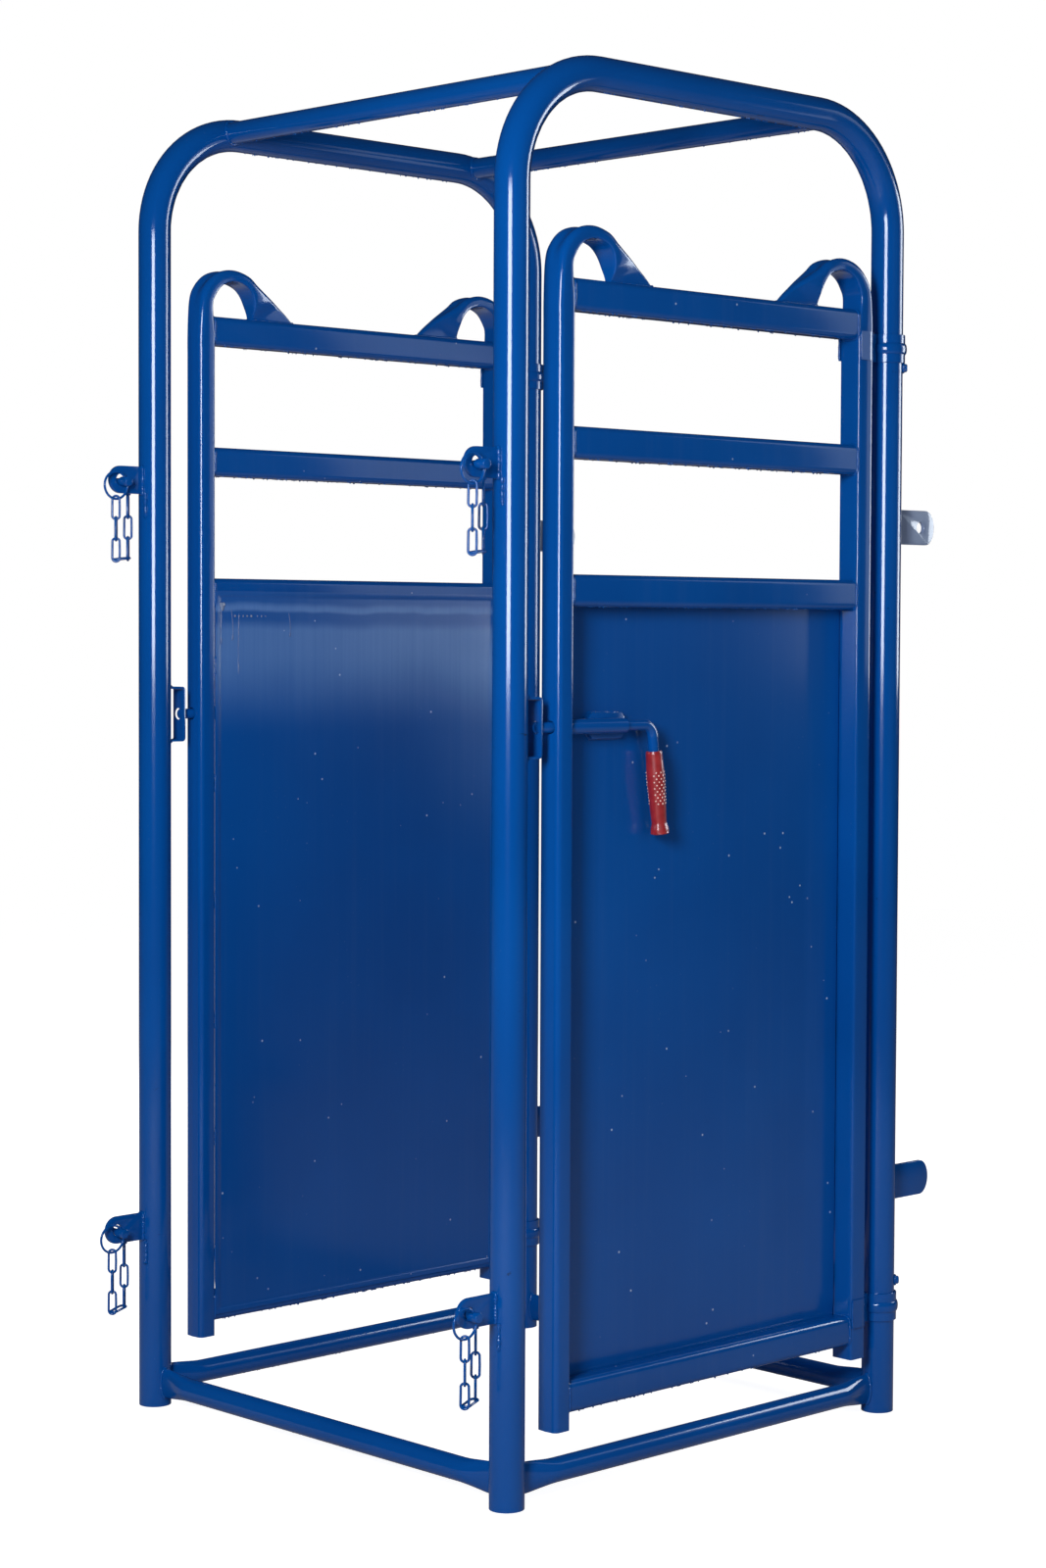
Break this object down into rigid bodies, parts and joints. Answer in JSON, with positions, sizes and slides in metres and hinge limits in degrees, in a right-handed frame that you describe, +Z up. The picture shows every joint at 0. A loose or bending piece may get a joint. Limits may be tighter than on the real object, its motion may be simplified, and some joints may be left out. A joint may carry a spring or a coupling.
{
  "type": "artificial insemination cage",
  "caption": "Blue tube cage for holding a cow during insemination, with a swinging gate, slide bolt and steel panel on each side, and lugs with pins to join it to a chute.",
  "frame": {"origin": "bottom centre of the overall box", "axes": "X runs along the alley from the front posts to the rear posts, Y to the left side, Z up"},
  "size_m": [1.0448, 0.883, 2.054],
  "materials": {
    "blue_paint": "glossy",
    "red_vinyl": "satin"
  },
  "bodies": {
    "cage": {"right_arch": "blue_paint", "left_arch": "blue_paint", "front_top_tube": "blue_paint", "rear_top_tube": "blue_paint", "right_bottom_rail": "blue_paint", "left_bottom_rail": "blue_paint", "front_bottom_rail": "blue_paint", "rear_bottom_rail": "blue_paint", "front_right_upper_lug": "blue_paint", "front_right_upper_chain": "blue_paint", "front_right_lower_lug": "blue_paint", "front_right_lower_chain": "blue_paint", "front_left_upper_lug": "blue_paint", "front_left_upper_chain": "blue_paint", "front_left_lower_lug": "blue_paint", "front_left_lower_chain": "blue_paint", "rear_right_upper_lug": "blue_paint", "rear_right_lower_lug": "blue_paint", "rear_left_upper_lug": "blue_paint", "rear_left_lower_lug": "blue_paint", "right_keeper": "blue_paint", "right_upper_stop": "blue_paint", "right_lower_stop": "blue_paint", "left_keeper": "blue_paint", "left_upper_stop": "blue_paint", "left_lower_stop": "blue_paint"},
    "right_gate": {"right_latch_stile": "blue_paint", "right_hinge_stile": "blue_paint", "right_gate_top_rail": "blue_paint", "right_gate_middle_rail": "blue_paint", "right_gate_lower_rail": "blue_paint", "right_gate_bottom_rail": "blue_paint", "right_gate_panel": "blue_paint", "right_upper_strap": "blue_paint", "right_lower_strap": "blue_paint", "right_latch_guide": "blue_paint", "right_guide_bracket": "blue_paint"},
    "right_latch_bolt": {"right_bolt": "blue_paint", "right_grip": "red_vinyl"},
    "left_gate": {"left_latch_stile": "blue_paint", "left_hinge_stile": "blue_paint", "left_gate_top_rail": "blue_paint", "left_gate_middle_rail": "blue_paint", "left_gate_lower_rail": "blue_paint", "left_gate_bottom_rail": "blue_paint", "left_gate_panel": "blue_paint", "left_upper_strap": "blue_paint", "left_lower_strap": "blue_paint", "left_latch_guide": "blue_paint", "left_guide_bracket": "blue_paint"},
    "left_latch_bolt": {"left_bolt": "blue_paint", "left_grip": "red_vinyl"},
    "right_upper_pin": {"front_right_upper_pin": "blue_paint"},
    "right_upper_ring": {"front_right_upper_ring": "blue_paint"},
    "right_lower_pin": {"front_right_lower_pin": "blue_paint"},
    "right_lower_ring": {"front_right_lower_ring": "blue_paint"},
    "left_upper_pin": {"front_left_upper_pin": "blue_paint"},
    "left_upper_ring": {"front_left_upper_ring": "blue_paint"},
    "left_lower_pin": {"front_left_lower_pin": "blue_paint"},
    "left_lower_ring": {"front_left_lower_ring": "blue_paint"}
  },
  "joints": [
    {"name": "right_gate_swing", "type": "hinge", "parent": "cage", "child": "right_gate", "pos_m": [0.40447, -0.4096, 0], "axis": [0, 0, 1], "range_deg": [-90, 145]},
    {"name": "right_latch_slide", "type": "slide", "parent": "right_gate", "child": "right_latch_bolt", "axis": [1, 0, 0], "range_m": [-0.022, 0.02]},
    {"name": "left_gate_swing", "type": "hinge", "parent": "cage", "child": "left_gate", "pos_m": [0.40447, 0.4096, 0], "axis": [0, 0, 1], "range_deg": [-145, 90]},
    {"name": "left_latch_slide", "type": "slide", "parent": "left_gate", "child": "left_latch_bolt", "axis": [1, 0, 0], "range_m": [-0.022, 0.02]},
    {"name": "right_upper_pin_pull", "type": "slide", "parent": "cage", "child": "right_upper_pin", "axis": [0, -1, 0], "range_m": [0, 0.045], "deforming": ["front_right_upper_chain"]},
    {"name": "right_upper_ring_flip", "type": "hinge", "parent": "right_upper_pin", "child": "right_upper_ring", "pos_m": [-0.47213, -0.4238, 1.4668], "axis": [-0.342, 0, 0.9397], "range_deg": [0, 110]},
    {"name": "right_lower_pin_pull", "type": "slide", "parent": "cage", "child": "right_lower_pin", "axis": [0, -1, 0], "range_m": [0, 0.045], "deforming": ["front_right_lower_chain"]},
    {"name": "right_lower_ring_flip", "type": "hinge", "parent": "right_lower_pin", "child": "right_lower_ring", "pos_m": [-0.48063, -0.4238, 0.2858], "axis": [-0.342, 0, 0.9397], "range_deg": [0, 110]},
    {"name": "left_upper_pin_pull", "type": "slide", "parent": "cage", "child": "left_upper_pin", "axis": [0, -1, 0], "range_m": [0, 0.045], "deforming": ["front_left_upper_chain"]},
    {"name": "left_upper_ring_flip", "type": "hinge", "parent": "left_upper_pin", "child": "left_upper_ring", "pos_m": [-0.47213, 0.3954, 1.4668], "axis": [-0.342, 0, 0.9397], "range_deg": [0, 110]},
    {"name": "left_lower_pin_pull", "type": "slide", "parent": "cage", "child": "left_lower_pin", "axis": [0, -1, 0], "range_m": [0, 0.045], "deforming": ["front_left_lower_chain"]},
    {"name": "left_lower_ring_flip", "type": "hinge", "parent": "left_lower_pin", "child": "left_lower_ring", "pos_m": [-0.48063, 0.3954, 0.2858], "axis": [-0.342, 0, 0.9397], "range_deg": [0, 110]}
  ]
}
